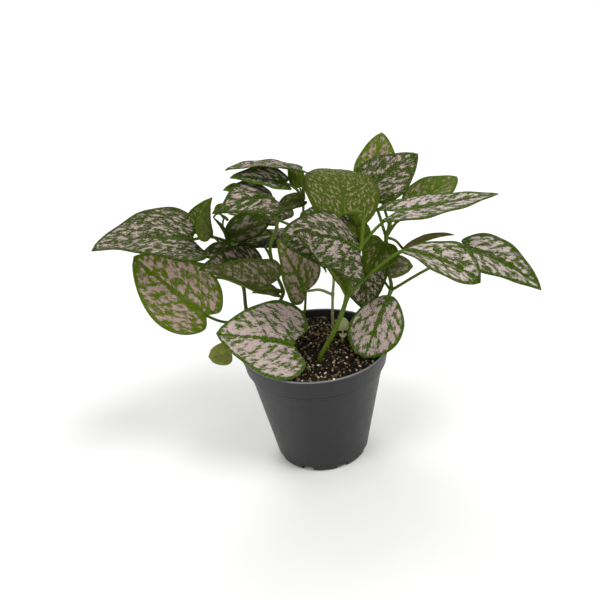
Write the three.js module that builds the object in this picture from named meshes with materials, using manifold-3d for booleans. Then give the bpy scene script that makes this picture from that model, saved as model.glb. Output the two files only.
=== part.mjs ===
// A polka dot plant in a small nursery pot. Millimetres, +Z up, origin at the middle of the pot's underside.
import * as THREE from "three";
import { mergeVertices } from "three/addons/utils/BufferGeometryUtils.js";
import Module from "manifold-3d";

const wasm = await Module();
wasm.setup();

// Pot
const rimRadius = 40;
const potHeight = 67;
const baseRadius = 25.2;
const wall = 1.2;
const collarHeight = 10;
const collarStep = 0.9;
const footWidth = 3;
const footHeight = 1.6;
const floorTop = 3.2;
const padRadius = 6;
const notchCount = 8;
const notchWidth = 6.5;
const notchHeight = 3;
const potSides = 40;

// Soil
const soilTop = 63.5;
const soilGap = 0.3;
const soilLump = 0.9;
const soilSides = 32;
const crumbCount = 26;
const holeGap = 0.6;
const holeBottom = 54;
const rootEnd = 55.5;

// Leaves and their stalks
const bladeThickness = 0.8;
const bladeRows = 7;
const bladeColumns = 4;
const smallBlade = 25;
const stalkRadius = 0.85;
const stalkSides = 5;
const stalkSunk = 0.05;
const rowCrowding = 1.8;
const lobe = 0.14;
const lobeTurn = 0.02;
const endHalfWidth = 0.5;
const stemSides = 7;

const up = new THREE.Vector3(0, 0, 1);

function seeded(seed) {
  let state = seed;
  return () => {
    state = (state * 1664525 + 1013904223) % 4294967296;
    return state / 4294967296;
  };
}

function solid(geometry) {
  const bare = geometry.index ? geometry : geometry.clone();
  bare.deleteAttribute("normal");
  bare.deleteAttribute("uv");
  const merged = mergeVertices(bare, 1e-4);
  const vertProperties = new Float32Array(merged.attributes.position.array);
  const triVerts = new Uint32Array(merged.index.array);
  return new wasm.Manifold(new wasm.Mesh({ numProp: 3, vertProperties, triVerts }));
}

function geometryOf(manifold) {
  const mesh = manifold.getMesh();
  const geometry = new THREE.BufferGeometry();
  geometry.setAttribute("position", new THREE.BufferAttribute(mesh.vertProperties, 3));
  geometry.setIndex(new THREE.BufferAttribute(mesh.triVerts, 1));
  return geometry;
}

function fused(solids) {
  return wasm.Manifold.union(solids);
}

// The union's outer body: a small hollow that crossing blades seal between them is filled.
function outerBody(union) {
  const shells = union.decompose();
  return shells.reduce((most, shell) => (shell.volume() > most.volume() ? shell : most));
}

// A round tube along a smooth curve through the points.
function tube(points, radius, sides, steps) {
  const section = new THREE.Shape();
  for (let i = 0; i < sides; i += 1) {
    const angle = (2 * Math.PI * i) / sides;
    const x = radius * Math.cos(angle);
    const y = radius * Math.sin(angle);
    if (i === 0) section.moveTo(x, y);
    else section.lineTo(x, y);
  }
  section.closePath();
  const extrudePath = new THREE.CatmullRomCurve3(points);
  return solid(new THREE.ExtrudeGeometry(section, { steps, extrudePath, bevelEnabled: false }));
}

function turned(profile, sides) {
  const points = profile.map(([radius, height]) => new THREE.Vector2(radius, height));
  return new THREE.LatheGeometry(points, sides).rotateX(Math.PI / 2);
}

// Outer radius of the pot's straight wall, below the collar.
function wallRadius(height) {
  const wallTop = potHeight - collarHeight - 3;
  return baseRadius + ((rimRadius - 4.3 - baseRadius) * height) / wallTop;
}

function makePot() {
  const wallTop = potHeight - collarHeight - 3;
  const topRadius = wallRadius(wallTop);
  const body = turned([
    [0, 0],
    [padRadius, 0],
    [padRadius + 0.6, footHeight],
    [baseRadius - footWidth - 1, footHeight],
    [baseRadius - footWidth, 0],
    [baseRadius - 0.8, 0],
    [baseRadius, 0.9],
    [topRadius, wallTop],
    [topRadius + collarStep, wallTop + 0.5],
    [topRadius + collarStep + 0.3, wallTop + 2.5],
    [topRadius + 2 * collarStep + 0.3, wallTop + 3],
    [rimRadius - 0.7, potHeight - 1.4],
    [rimRadius, potHeight - 1.1],
    [rimRadius, potHeight - 0.3],
    [rimRadius - 0.4, potHeight],
    [rimRadius - 1.2, potHeight],
    [rimRadius - 1.7, potHeight - 0.6],
    [topRadius + 2 * collarStep + 0.3 - wall, wallTop + 2.6],
    [topRadius - wall, wallTop - 0.6],
    [wallRadius(floorTop) - wall, floorTop],
    [0, floorTop],
  ], potSides);
  const notches = [];
  for (let i = 0; i < notchCount; i += 1) {
    const angle = (2 * Math.PI * (i + 0.5)) / notchCount;
    const notch = new THREE.BoxGeometry(notchWidth, 8, 2 * notchHeight);
    notch.translate(0, -(baseRadius + 1), 0).rotateZ(angle);
    notches.push(solid(notch));
  }
  return geometryOf(solid(body).subtract(fused(notches)));
}

// Height of the soil's surface: a low mound with small lumps.
function soilHeight(x, y) {
  const lumps = Math.sin(x * 0.55 + 1.3) * Math.sin(y * 0.62 + 0.4) + 0.6 * Math.sin(x * 1.1 - y * 0.9);
  const mound = 0.8 * (1 - (x * x + y * y) / (rimRadius * rimRadius));
  return soilTop + mound + 0.5 * soilLump * lumps;
}

function soilBody() {
  const inner = (height) => wallRadius(height) - wall - soilGap - 0.1;
  const bottom = floorTop + soilGap;
  const wallTop = potHeight - collarHeight - 3.6;
  const edge = inner(wallTop) + 0.29 * (soilTop - wallTop);
  const profile = [[0, bottom], [inner(bottom), bottom], [inner(wallTop), wallTop], [edge, soilTop - 1]];
  for (let ring = 7; ring >= 0; ring -= 1) profile.push([(edge * ring) / 7.4, soilTop]);
  const body = turned(profile, soilSides);
  const position = body.attributes.position;
  for (let i = 0; i < position.count; i += 1) {
    if (position.getZ(i) > soilTop - 0.5) {
      position.setZ(i, soilHeight(position.getX(i), position.getY(i)));
    }
  }
  return solid(body);
}

// Crumbs and perlite grains, half sunk in the surface.
function crumbs(stems) {
  const draw = seeded(7);
  const made = [];
  const reach = wallRadius(potHeight - collarHeight) - 3;
  while (made.length < crumbCount) {
    const angle = 2 * Math.PI * draw();
    const away = reach * Math.sqrt(draw());
    const size = 0.9 + 1.1 * draw();
    const x = away * Math.cos(angle);
    const y = away * Math.sin(angle);
    const free = stems.every((stem) => Math.hypot(stem.path[0][0] - x, stem.path[0][1] - y) > 5);
    if (free) {
      const crumb = new THREE.IcosahedronGeometry(size, 0);
      crumb.rotateX(3 * draw()).rotateY(3 * draw()).scale(1, 1, 0.8);
      crumb.translate(x, y, soilHeight(x, y));
      made.push(solid(crumb));
    }
  }
  return made;
}

function makeSoil(stems) {
  const holes = stems.map((stem) => {
    const radius = stem.radius + holeGap;
    const depth = potHeight - holeBottom;
    const hole = new THREE.CylinderGeometry(radius, radius, depth, 8).rotateX(Math.PI / 2);
    hole.translate(stem.path[0][0], stem.path[0][1], holeBottom + depth / 2);
    return solid(hole);
  });
  return geometryOf(fused([soilBody(), ...crumbs(stems)]).subtract(fused(holes)));
}

// Unit vector at a compass bearing from +X, rising above level; both in degrees.
function heading(bearing, rise) {
  const b = THREE.MathUtils.degToRad(bearing);
  const r = THREE.MathUtils.degToRad(rise);
  return new THREE.Vector3(Math.cos(r) * Math.cos(b), Math.cos(r) * Math.sin(b), Math.sin(r));
}

// Half width of the egg-shaped blade at a share of its length from the back of the lobes to the tip.
function outline(share, fullness, peak) {
  return Math.sin(Math.PI * share ** peak) ** fullness;
}

// A point of the blade from its share, stalk 0 to tip 1, and b, left margin -1 to right margin 1, raised
// square to the blade. The lobes reach back past the stalk, and the raise is less where they begin.
function bladePoint(leaf, share, b, raise = 0) {
  const [length] = leaf.blade;
  const side = Math.abs(b);
  const midrib = length * share ** 1.3;
  const turn = 1 - Math.exp(-share / (leaf.lobeTurn ?? lobeTurn));
  const back = (leaf.lobe ?? lobe) * (1 - share) * turn;
  const along = midrib + (length * (share - back) - midrib) * side ** 1.3;
  const half = 0.5 * leaf.width * outline(Math.min(share, 0.9999), leaf.fullness ?? 0.8, leaf.peak ?? 0.62);
  const flat = b * Math.max(endHalfWidth, half);
  const x = along / length;
  const fold = THREE.MathUtils.degToRad(leaf.fold ?? 10);
  const twist = THREE.MathUtils.degToRad(leaf.twist ?? 0) * (x - 0.4);
  const ripple = Math.sin(2 * Math.PI * 2.5 * x + 2.4 * b + length);
  const wave = (leaf.wave ?? 0.4) * Math.min(1, length / 40) * side * side * ripple;
  const inward = raise * Math.sin(fold) * Math.min(1, Math.abs(flat) / 2);
  const upward = side === 0 ? raise / Math.cos(fold) : raise * Math.cos(fold);
  const across = flat * Math.cos(fold) - Math.sign(b) * inward;
  const lift = Math.abs(flat) * Math.sin(fold) + wave * Math.min(1, 4 * (1 - x)) + upward;
  const height = 4 * (leaf.arch ?? 1.5) * x * (1 - x);
  return [along, across * Math.cos(twist) + lift * Math.sin(twist),
    height + lift * Math.cos(twist) - across * Math.sin(twist)];
}

// Axes of the blade: along its midrib, to its right, and out of its upper face.
function bladeFrame(leaf) {
  const [, bearing, rise] = leaf.blade;
  const along = heading(bearing, rise);
  const right = new THREE.Vector3().crossVectors(along, up).normalize();
  right.applyAxisAngle(along, THREE.MathUtils.degToRad(leaf.roll ?? 0));
  const out = new THREE.Vector3().crossVectors(right, along);
  return { along, right, out };
}

function placed(base, frame, [along, across, height]) {
  return base.clone()
    .addScaledVector(frame.along, along)
    .addScaledVector(frame.right, across)
    .addScaledVector(frame.out, height);
}

// Both faces are split into the same triangles, so that a waved blade stays of one thickness.
function bladeSolid(leaf, base) {
  const frame = bladeFrame(leaf);
  const small = leaf.blade[0] < smallBlade;
  const rows = small ? bladeRows - 2 : bladeRows;
  const columns = small ? bladeColumns / 2 : bladeColumns;
  const across = columns + 1;
  const layer = (rows + 1) * across;
  const positions = [];
  for (const raise of [0.5 * bladeThickness, -0.5 * bladeThickness]) {
    for (let i = 0; i <= rows; i += 1) {
      for (let j = 0; j <= columns; j += 1) {
        const share = (i / rows) ** rowCrowding;
        const point = bladePoint(leaf, share, (2 * j) / columns - 1, raise);
        positions.push(...placed(base, frame, point).toArray());
      }
    }
  }
  const index = [];
  const face = (p, q, r) => index.push(p, q, r, p + layer, r + layer, q + layer);
  for (let i = 0; i < rows; i += 1) {
    for (let j = 0; j < columns; j += 1) {
      const p = i * across + j;
      const near = [p, p + 1, p + across, p + across + 1];
      if (j < columns / 2) {
        face(near[0], near[1], near[2]);
        face(near[1], near[3], near[2]);
      } else {
        face(near[0], near[1], near[3]);
        face(near[0], near[3], near[2]);
      }
    }
  }
  const rim = [];
  for (let j = 0; j < columns; j += 1) rim.push(j);
  for (let i = 0; i < rows; i += 1) rim.push(i * across + columns);
  for (let j = columns; j > 0; j -= 1) rim.push(rows * across + j);
  for (let i = rows; i > 0; i -= 1) rim.push(i * across);
  rim.forEach((p, k) => {
    const q = rim[(k + 1) % rim.length];
    index.push(p, p + layer, q + layer, p, q + layer, q);
  });
  const geometry = new THREE.BufferGeometry();
  geometry.setAttribute("position", new THREE.Float32BufferAttribute(positions, 3));
  geometry.setIndex(index);
  return solid(geometry);
}

// A leaf's stalk bows from its stem to the blade and runs on a little way under the midrib.
function leafSolids(stem, leaf) {
  const root = new THREE.Vector3(...stem.path[leaf.at]);
  const [reach, bearing, rise] = leaf.stalk;
  const base = root.clone().addScaledVector(heading(bearing, rise), reach);
  const middle = root.clone().lerp(base, 0.5);
  middle.z += leaf.bow ?? Math.min(2, 0.12 * reach);
  const frame = bladeFrame(leaf);
  const end = placed(base, frame, bladePoint(leaf, stalkSunk, 0));
  const radius = leaf.stalkRadius ?? stalkRadius;
  const steps = reach > 30 ? 6 : 3;
  return [tube([root, middle, base, end], radius, stalkSides, steps), bladeSolid(leaf, base)];
}

// A leafy stem is one tube, with its stalks and blades fused to it.
function makeStem(stem) {
  const [x, y] = stem.path[0];
  const points = [new THREE.Vector3(x, y, rootEnd), ...stem.path.map((p) => new THREE.Vector3(...p))];
  const solids = [tube(points, stem.radius, stemSides, 2 * points.length)];
  for (const leaf of stem.leaves) solids.push(...leafSolids(stem, leaf));
  return geometryOf(outerBody(fused(solids)));
}

// Every leafy stem: its path up from the soil, then each leaf by the point of the path that bears it,
// its stalk and its blade as length, bearing and rise, and the blade's form: roll, fold and twist in
// degrees, arch, wave and bow in mm, peak and fullness of its outline, and lobe as a share of its length.
const stems = [
  {
    name: "stemFront",
    radius: 1.35,
    path: [[2, -15, 65.5], [6, -15, 73], [10, -15, 80], [15, -15, 91], [18, -14, 99], [22, -13, 113],
      [26, -11, 124], [28, -10, 135], [29, -9, 140]],
    leaves: [
      {
        at: 4, stalk: [41, -30, 44], blade: [39, -31, -15], width: 26, roll: 6, arch: 3, fold: 15,
        twist: 25, peak: 1.2, fullness: 0.65, lobe: 0.04,
      },
      { at: 4, stalk: [28, -143, 61], blade: [26, -137, 50], width: 20, roll: -50 },
      {
        at: 6, stalk: [3, -100, 0], blade: [41, -162, 20], width: 38, roll: -38, arch: 7,
        fold: -12, peak: 0.58, fullness: 0.52,
      },
      {
        at: 6, stalk: [25, 20, 32], blade: [49, 2, 5], width: 27, roll: 4, arch: 0, fold: 3,
        lobe: 0.24, lobeTurn: 0.012,
      },
      {
        at: 8, stalk: [10, 153, -7], blade: [45, 93, 12], width: 38, roll: 10, arch: 5, fold: 0,
        peak: 0.95, fullness: 0.5, lobe: 0.2,
      },
      { at: 6, stalk: [4, 60, 40], blade: [14, 120, 50], width: 11, roll: -30 },
    ],
  },
  {
    name: "stemPale",
    radius: 0.9,
    path: [[11, 15, 65.5], [11, 15, 73], [12, 15, 87], [13, 15, 98], [11, 14, 103], [10, 12, 114]],
    leaves: [
      { at: 2, stalk: [15, -168, 19], blade: [36, -150, 67], width: 31, roll: -68, arch: 1, lobe: 0.08 },
      { at: 5, stalk: [9, -70, 22], blade: [23, -65, -57], width: 15 },
      { at: 5, stalk: [14, 85, 30], blade: [36, 88, 0], width: 28, roll: 5 },
    ],
  },
  {
    name: "stemMiddle",
    radius: 1.1,
    path: [[-14, 6, 65.5], [-15, 6, 74], [-16, 5, 90], [-14, 5, 96], [-17, 5, 108], [-18, 5, 122],
      [-14, 6, 130], [-13, 7, 139]],
    leaves: [
      {
        at: 1, stalk: [26, -80, 10], blade: [39, 180, 14], width: 43, roll: -38, arch: 2.5,
        fold: 4, fullness: 0.72, lobe: 0.24, lobeTurn: 0.012,
      },
      {
        at: 3, stalk: [15, -154, 18], blade: [38, -144, 36], width: 44, roll: -6, arch: 1,
        fold: 58, peak: 0.56,
      },
      { at: 7, stalk: [12, -95, 52], blade: [28, -152, -1], width: 29, roll: -20, arch: 4, fold: 0 },
      { at: 6, stalk: [11, -87, 60], blade: [16, -149, 28], width: 14, roll: -10 },
      { at: 7, stalk: [15, 171, 28], blade: [15, -150, 31], width: 15, roll: -20 },
      { at: 4, stalk: [18, 105, 22], blade: [42, 84, -8], width: 32 },
      { at: 3, stalk: [3, -150, 0], blade: [15, -155, 18], width: 10, roll: -20 },
    ],
  },
  {
    name: "stemLeft",
    radius: 1.1,
    path: [[-26, 4, 65.5], [-31, 4, 76], [-34, 4, 87], [-34, 4, 102], [-36, 5, 113], [-39, 8, 125],
      [-41, 10, 132], [-45, 12, 137]],
    leaves: [
      {
        at: 2, stalk: [24, -145, 15], blade: [47, -174, 51], width: 37, roll: -75, arch: 1,
        fold: 4, peak: 0.78, fullness: 0.68, lobe: 0.13, lobeTurn: 0.012, bow: -5,
      },
      {
        at: 5, stalk: [20, -147, 20], blade: [48, -163, 5], width: 38, roll: -18, arch: 4.2,
        fold: 8, twist: 35, peak: 0.72, fullness: 0.6, lobe: 0.17,
      },
      { at: 4, stalk: [17, 101, 14], blade: [24, -4, 11], width: 22, roll: 10, arch: 2, peak: 0.85 },
      { at: 6, stalk: [7.5, 58, -55], blade: [23, 6, 14], width: 18, roll: -80, arch: 1, peak: 0.9 },
      { at: 4, stalk: [23, -142, 60], blade: [18.5, 54, 79], width: 32, roll: -36, fold: 36 },
      { at: 4, stalk: [7, 133, 55], blade: [16, -176, -1], width: 14, roll: -20, arch: 2 },
      { at: 6, stalk: [7, -60, 60], blade: [10, -123, 33], width: 8, roll: -30 },
      { at: 7, stalk: [4, 54, 10], blade: [7, 61, 30], width: 5 },
      { at: 3, stalk: [24, 150, 2], blade: [38, 160, -8], width: 28 },
    ],
  },
  {
    name: "stemRight",
    radius: 1.2,
    path: [[27, 12, 65.5], [35, 16, 73], [44, 20, 84], [43, 20, 96], [43, 19, 108], [42, 18, 116],
      [44, 18, 122], [45, 19, 127]],
    leaves: [
      {
        at: 2, stalk: [8.5, -106, 8], blade: [40, -119, -28], width: 30, roll: -8, arch: 3,
        fold: -15, peak: 1.15, fullness: 0.55, lobe: 0.04,
      },
      { at: 2, stalk: [28, -169, 54], blade: [30, -74, -80], width: 28 },
      {
        at: 2, stalk: [50, -25, 33], blade: [41, -35, -21], width: 26, roll: 22, arch: 4,
        lobe: 0.22, lobeTurn: 0.012, bow: 1.5,
      },
      { at: 4, stalk: [9, -75, -69], blade: [12.5, -27, 9], width: 13, roll: 55, fullness: 0.5 },
      { at: 5, stalk: [4, -111, -25], blade: [19, -142, -45], width: 20, roll: -40 },
      { at: 5, stalk: [15, 24, -42], blade: [30, 18, 5], width: 12, roll: -45, arch: 2, wave: 0.1 },
      { at: 5, stalk: [16, -8, 47], blade: [37, 33, 19], width: 27, roll: 2, peak: 1.1 },
      { at: 5, stalk: [26, 141, 69], blade: [34, 29, 21], width: 30, roll: 25, fold: 0 },
      { at: 6, stalk: [26, 102, 35], blade: [29, 67, 59], width: 25, fullness: 0.7 },
      { at: 3, stalk: [16, 95, 0], blade: [42, 95, -30], width: 28 },
    ],
  },
  {
    name: "stemSlim",
    radius: 0.8,
    path: [[-5, 30, 65.5], [-4, 28, 71], [-3, 27, 79], [-1, 25, 98], [0, 22, 117], [0, 20, 131],
      [1, 19, 140]],
    leaves: [
      {
        at: 6, stalk: [17, -87, 73], blade: [38, -168, 9], width: 30, roll: 7, arch: 2.5, fold: 4,
        peak: 0.5, fullness: 0.6,
      },
      { at: 6, stalk: [17, -132, 44], blade: [28, -167, 15], width: 18, roll: -20 },
      { at: 5, stalk: [9, -77, 77], blade: [18, -169, -20], width: 16, roll: -10 },
      { at: 6, stalk: [8, 108, 36], blade: [13, 120, 46], width: 10 },
      { at: 3, stalk: [16, 60, 25], blade: [42, 55, -8], width: 32 },
      { at: 4, stalk: [18, 140, 25], blade: [40, 142, 0], width: 30 },
    ],
  },
  {
    name: "seedlingRight",
    radius: 0.7,
    path: [[15, 2, 65.5], [15, 2, 68], [15.5, 2, 70]],
    leaves: [
      {
        at: 2, stalk: [1.5, 90, 60], blade: [7.5, 88, 62], width: 8, arch: 0.5, wave: 0,
        fullness: 0.5, lobe: 0.04,
      },
      {
        at: 2, stalk: [2.5, -92, 20], blade: [4.5, -92, 5], width: 4, arch: 0.3, wave: 0,
        fullness: 0.5, lobe: 0.04,
      },
    ],
  },
  {
    name: "seedlingLeft",
    radius: 0.7,
    path: [[-25, -12, 65.5], [-26, -12, 68], [-30, -13, 71]],
    leaves: [
      {
        at: 2, stalk: [13, -178, 8], blade: [12, -175, -3], width: 12, roll: -55, arch: 0.5,
        wave: 0, fullness: 0.45, lobe: 0.02,
      },
      { at: 2, stalk: [4, 60, 20], blade: [8, 70, 10], width: 9, arch: 0.5, wave: 0, fullness: 0.5 },
    ],
  },
];

function material(color, roughness) {
  return new THREE.MeshStandardMaterial({ color, roughness, metalness: 0 });
}

function node(name, geometry, finish) {
  const mesh = new THREE.Mesh(geometry, finish);
  mesh.name = name;
  return mesh;
}

const plant = new THREE.Group();
plant.add(node("pot", makePot(), material(0x6f7073, 0.55)));
plant.add(node("soil", makeSoil(stems), material(0x2a211b, 0.95)));
for (const stem of stems) {
  plant.add(node(stem.name, makeStem(stem), material(0x5c7a35, 0.5)));
}

export default plant;
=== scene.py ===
import bpy
import bmesh
import random
from math import cos, exp, pi, radians, sin
from mathutils import Matrix, Vector, noise


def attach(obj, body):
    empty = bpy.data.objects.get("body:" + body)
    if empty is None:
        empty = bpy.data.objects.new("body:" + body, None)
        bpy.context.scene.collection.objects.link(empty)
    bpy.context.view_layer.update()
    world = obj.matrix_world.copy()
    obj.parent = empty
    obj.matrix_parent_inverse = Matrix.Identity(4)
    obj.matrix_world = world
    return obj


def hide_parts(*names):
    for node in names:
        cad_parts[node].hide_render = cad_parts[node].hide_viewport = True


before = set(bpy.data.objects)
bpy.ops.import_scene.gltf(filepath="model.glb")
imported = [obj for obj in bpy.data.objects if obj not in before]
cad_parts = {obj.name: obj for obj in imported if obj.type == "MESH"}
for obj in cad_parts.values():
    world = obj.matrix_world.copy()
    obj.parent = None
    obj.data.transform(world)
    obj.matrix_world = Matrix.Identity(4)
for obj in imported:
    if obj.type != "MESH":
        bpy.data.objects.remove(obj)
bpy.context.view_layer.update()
mm = 0.001
mergeWithin = 1e-6  # points closer than this, in metres, are one point
up = Vector((0, 0, 1))
print("frame loaded:", len(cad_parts), "nodes")

# Polka dot plant: the camera first, then pot, soil, leafy stems, floor and lights.

# One function turns an sRGB hex value into linear colour.
def linear(hexColour):
    channels = [int(hexColour[i:i + 2], 16) / 255 for i in (1, 3, 5)]
    return [c / 12.92 if c <= 0.04045 else ((c + 0.055) / 1.055) ** 2.4 for c in channels] + [1.0]


# Adds a shader node; a value in sockets that is itself a socket is linked, any other is set.
def addNode(tree, kind, sockets=None, **settings):
    node = tree.nodes.new("ShaderNode" + kind)
    for name, value in settings.items():
        setattr(node, name, value)
    for socket, value in (sockets or {}).items():
        if isinstance(value, bpy.types.NodeSocket):
            tree.links.new(value, node.inputs[socket])
        else:
            node.inputs[socket].default_value = value
    return node


def emptyMaterial(name):
    material = bpy.data.materials.new(name)
    material.use_nodes = True
    material.node_tree.nodes.clear()
    return material, material.node_tree


# The shader that every opaque material ends in.
def opaqueFinish(tree, colour, rough, bump, gloss=0.5):
    shader = addNode(tree, "BsdfPrincipled",
                     {"Base Color": colour, "Roughness": rough, "Normal": bump, "Specular IOR Level": gloss})
    addNode(tree, "OutputMaterial", {"Surface": shader.outputs[0]})


def onlyVerts(geometry):
    return [item for item in geometry if isinstance(item, bmesh.types.BMVert)]


# Adds a small part to the mesh that it belongs to. Each part is built alone, which keeps its operators quick.
def gather(bm, part):
    mesh = bpy.data.meshes.new("part")
    part.to_mesh(mesh)
    part.free()
    bm.from_mesh(mesh)
    bpy.data.meshes.remove(mesh)


def makeObject(name, bm, materials=(), smooth=True):
    mesh = bpy.data.meshes.new(name)
    for face in bm.faces:
        face.smooth = smooth
    bm.to_mesh(mesh)
    bm.free()
    for material in materials:
        mesh.materials.append(material)
    made = bpy.data.objects.new(name, mesh)
    bpy.context.scene.collection.objects.link(made)
    return made


def finishPiece(name, bm, materials, nodes, smooth=True):
    piece = makeObject(name, bm, materials, smooth)
    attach(piece, "root")
    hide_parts(*nodes)
    return piece


# Spins a profile of (radius, height) in mm that starts and ends on the axis. Its corners may be rounded.
def spinProfile(profile, steps, edgeRound=0):
    bm = bmesh.new()
    points = [bm.verts.new((radius * mm, 0, height * mm)) for radius, height in profile]
    for a, b in zip(points, points[1:]):
        bm.edges.new((a, b))
    if edgeRound:
        bmesh.ops.bevel(bm, geom=points[1:-1], offset=edgeRound * mm, offset_type="OFFSET", segments=3,
                        profile=0.5, affect="VERTICES", material=-1, clamp_overlap=True)
    bmesh.ops.spin(bm, geom=bm.verts[:] + bm.edges[:], cent=(0, 0, 0), axis=(0, 0, 1), dvec=(0, 0, 0),
                   angle=2 * pi, steps=steps, use_merge=True, use_duplicate=False)
    bmesh.ops.remove_doubles(bm, verts=bm.verts, dist=mergeWithin)
    bmesh.ops.recalc_face_normals(bm, faces=bm.faces)
    return bm


# Camera: 400 mm from the middle of the rim, looking 29.5 degrees down, rolled 5 degrees.
camera = {
    "distance": 0.400,
    "elevation": 29.5,
    "roll": 5.0,
    "target": (0, 0, 0.067),
    "lens": 45,
    "sensor": 36,
    "imageSize": 600,
    "axisPixel": (314.5, 342.5),  # where the optical axis meets the 600 x 600 picture
}


def makeCamera(spec):
    e = radians(spec["elevation"])
    back = Vector((0, -cos(e), sin(e)))
    flatUp = Vector((0, sin(e), cos(e)))
    roll = radians(spec["roll"])
    right = cos(roll) * Vector((1, 0, 0)) - sin(roll) * flatUp
    upward = sin(roll) * Vector((1, 0, 0)) + cos(roll) * flatUp
    data = bpy.data.cameras.new("camera")
    data.lens = spec["lens"]
    data.sensor_width = spec["sensor"]
    middle = spec["imageSize"] / 2
    data.shift_x = (middle - spec["axisPixel"][0]) / spec["imageSize"]
    data.shift_y = (spec["axisPixel"][1] - middle) / spec["imageSize"]
    data.clip_start = 0.01
    holder = bpy.data.objects.new("camera", data)
    turn = Matrix((right, upward, back)).transposed().to_4x4()
    holder.matrix_world = Matrix.Translation(Vector(spec["target"]) + back * spec["distance"]) @ turn
    bpy.context.scene.collection.objects.link(holder)
    bpy.context.scene.camera = holder


makeCamera(camera)
print("camera placed")

# Pot: a thin injection-moulded nursery pot, in mm.
pot = {
    "rimRadius": 40,
    "height": 67,
    "baseRadius": 25.2,
    "wall": 1.2,
    "collarHeight": 10,
    "collarStep": 0.9,
    "stepsHeight": 3,
    "collarReach": 4.3,  # how far the rim stands out past the top of the wall
    "footWidth": 3,
    "footHeight": 1.6,
    "floorTop": 3.2,
    "padRadius": 6,
    "notchCount": 8,
    "notchWidth": 6.5,
    "notchHeight": 3,
    "notchRound": 1.0,
    "edgeRound": 0.28,
    "steps": 192,
    "sharpest": 40,  # degrees between faces, above which an edge is sharp
    "plastic": ("#19191b", "#232325"),
    # the lip colour is a painted highlight on the lip's top, where it catches the light
    "lipHighlight": "#8c8d90",
    "lipHighlightHeights": (66.5, 66.9),
    # the dark bands at the grooves are painted shade, in the corners under the collar's two steps
    "grooves": (53.5, 56.0),
    "grooveShadeHalf": 0.9,
    "grooveShade": "#060607",
    "dust": "#4b4842",
    "dustyHeights": (50, 67.5),  # the dust thickens from the one height to the other
    "cloudScale": 90,  # a pattern's scale counts its spots in a metre: here clouds of 11 mm
    "dustScale": 260,  # spots of 4 mm
    "grainScale": 1500,  # the tool's grain, drawn at 0.7 mm, coarser than it is, so that it shows
}


# The tapered wall ends below the collar, whose steps and flare make up the rest of the radius.
def wallTop():
    return pot["height"] - pot["collarHeight"] - pot["stepsHeight"]


def wallRadius(height):
    base = pot["baseRadius"]
    return base + (pot["rimRadius"] - pot["collarReach"] - base) * height / wallTop()


def potPlastic():
    # Polypropylene, injection moulded and matt from its tool: dark grey, soft highlight, dusty near the rim.
    material, tree = emptyMaterial("grey moulded polypropylene")
    place = addNode(tree, "TexCoord").outputs["Object"]
    streaks = addNode(tree, "Mapping", {"Vector": place, "Scale": (1, 1, 0.12)}).outputs[0]
    cloudy = addNode(tree, "TexNoise",
                     {"Vector": streaks, "Scale": pot["cloudScale"], "Detail": 4}).outputs[0]
    dust = addNode(tree, "TexNoise",
                   {"Vector": place, "Scale": pot["dustScale"], "Detail": 5, "Roughness": 0.7}).outputs[0]
    speck = addNode(tree, "MapRange",
                    {"Value": dust, "From Min": 0.6, "From Max": 0.72, "To Max": 0.55}).outputs[0]
    height = addNode(tree, "SeparateXYZ", {0: place}).outputs["Z"]
    clean, dusted = (level * mm for level in pot["dustyHeights"])
    nearRim = addNode(tree, "MapRange",
                      {"Value": height, "From Min": clean, "From Max": dusted, "To Min": 0.15}).outputs[0]
    dusty = addNode(tree, "Math", {0: speck, 1: nearRim}, operation="MULTIPLY").outputs[0]
    plastic = addNode(tree, "Mix",
                      {0: cloudy, 6: linear(pot["plastic"][0]), 7: linear(pot["plastic"][1])},
                      data_type="RGBA").outputs[2]
    colour = addNode(tree, "Mix",
                     {0: dusty, 6: plastic, 7: linear(pot["dust"])}, data_type="RGBA").outputs[2]
    # Painted shade darkens the two grooves under the collar's steps.
    low, high = (groove * mm for groove in pot["grooves"])
    aboveLow = addNode(tree, "Math", {0: height, 1: low}, operation="SUBTRACT").outputs[0]
    toGroove = addNode(tree, "Math", {0: aboveLow, 1: (high - low) / 2}, operation="PINGPONG").outputs[0]
    grooveBand = addNode(tree, "MapRange",
                       {"Value": toGroove, "From Max": pot["grooveShadeHalf"] * mm,
                        "To Min": 1.0, "To Max": 0.0}).outputs[0]
    onCollar = addNode(tree, "Math", {0: height, 1: (low + high) / 2, 2: high - low - mm},
                       operation="COMPARE").outputs[0]
    grooveShadeMask = addNode(tree, "Math", {0: grooveBand, 1: onCollar}, operation="MULTIPLY").outputs[0]
    grooveShaded = addNode(tree, "Mix",
                      {0: grooveShadeMask, 6: colour, 7: linear(pot["grooveShade"])}, data_type="RGBA").outputs[2]
    # A painted highlight pales the lip's top, where it catches the light.
    lipFoot, lipTop = (level * mm for level in pot["lipHighlightHeights"])
    onLipHighlight = addNode(tree, "MapRange",
                    {"Value": height, "From Min": lipFoot, "From Max": lipTop, "To Max": 0.8}).outputs[0]
    colour = addNode(tree, "Mix",
                     {0: onLipHighlight, 6: grooveShaded, 7: linear(pot["lipHighlight"])}, data_type="RGBA").outputs[2]
    rough = addNode(tree, "MapRange", {"Value": dust, "To Min": 0.34, "To Max": 0.6}).outputs[0]
    grain = addNode(tree, "TexNoise", {"Vector": place, "Scale": pot["grainScale"], "Detail": 2}).outputs[0]
    bump = addNode(tree, "Bump", {"Height": grain, "Strength": 0.12, "Distance": 0.0002}).outputs[0]
    opaqueFinish(tree, colour, rough, bump, 0.4)
    return material


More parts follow.
